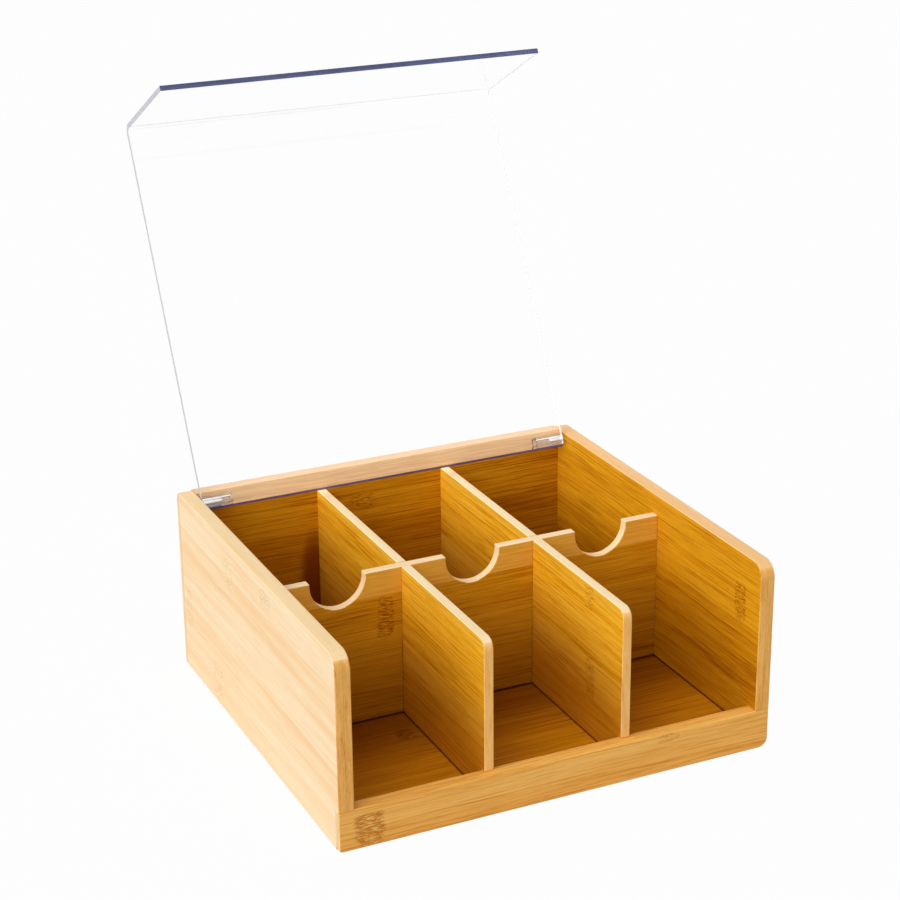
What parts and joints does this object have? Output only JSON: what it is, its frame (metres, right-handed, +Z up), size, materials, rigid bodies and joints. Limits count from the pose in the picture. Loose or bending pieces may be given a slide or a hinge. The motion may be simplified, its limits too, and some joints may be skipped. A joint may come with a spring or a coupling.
{
  "type": "tea bag organizer box",
  "caption": "Bamboo tea bag organizer box with half-lapped dividers, finger notches and a low front rail, under a clear hinged lid whose bent flap closes the open front.",
  "frame": {"origin": "middle of the front rail's underside, on the surface that the box stands on", "axes": "+X to the right seen from the front, +Y to the rear, +Z up"},
  "size_m": [0.254, 0.3249, 0.3421],
  "materials": {
    "bamboo_side": "light bamboo strips, sealed, satin",
    "bamboo_front": "warm bamboo with speckled end grain, sealed, satin",
    "bamboo_inner": "golden bamboo strips, sealed, satin",
    "clear_acrylic": "clear polished acrylic",
    "steel": "plain bright steel"
  },
  "bodies": {
    "box": {"left_side_panel": "bamboo_side", "right_side_panel": "bamboo_side", "back_panel": "bamboo_inner", "front_rail": "bamboo_front", "bottom_panel": "bamboo_inner", "left_divider": "bamboo_inner", "right_divider": "bamboo_inner", "cross_divider": "bamboo_inner", "left_hinge_pin": "steel", "right_hinge_pin": "steel"},
    "lid": {"lid_sheet": "clear_acrylic", "left_hinge_block": "clear_acrylic", "right_hinge_block": "clear_acrylic"}
  },
  "joints": [
    {"name": "lid_hinge", "type": "hinge", "parent": "box", "child": "lid", "pos_m": [0, 0.2218, 0.1052], "axis": [1, 0, 0], "range_deg": [0, 117.5]}
  ]
}
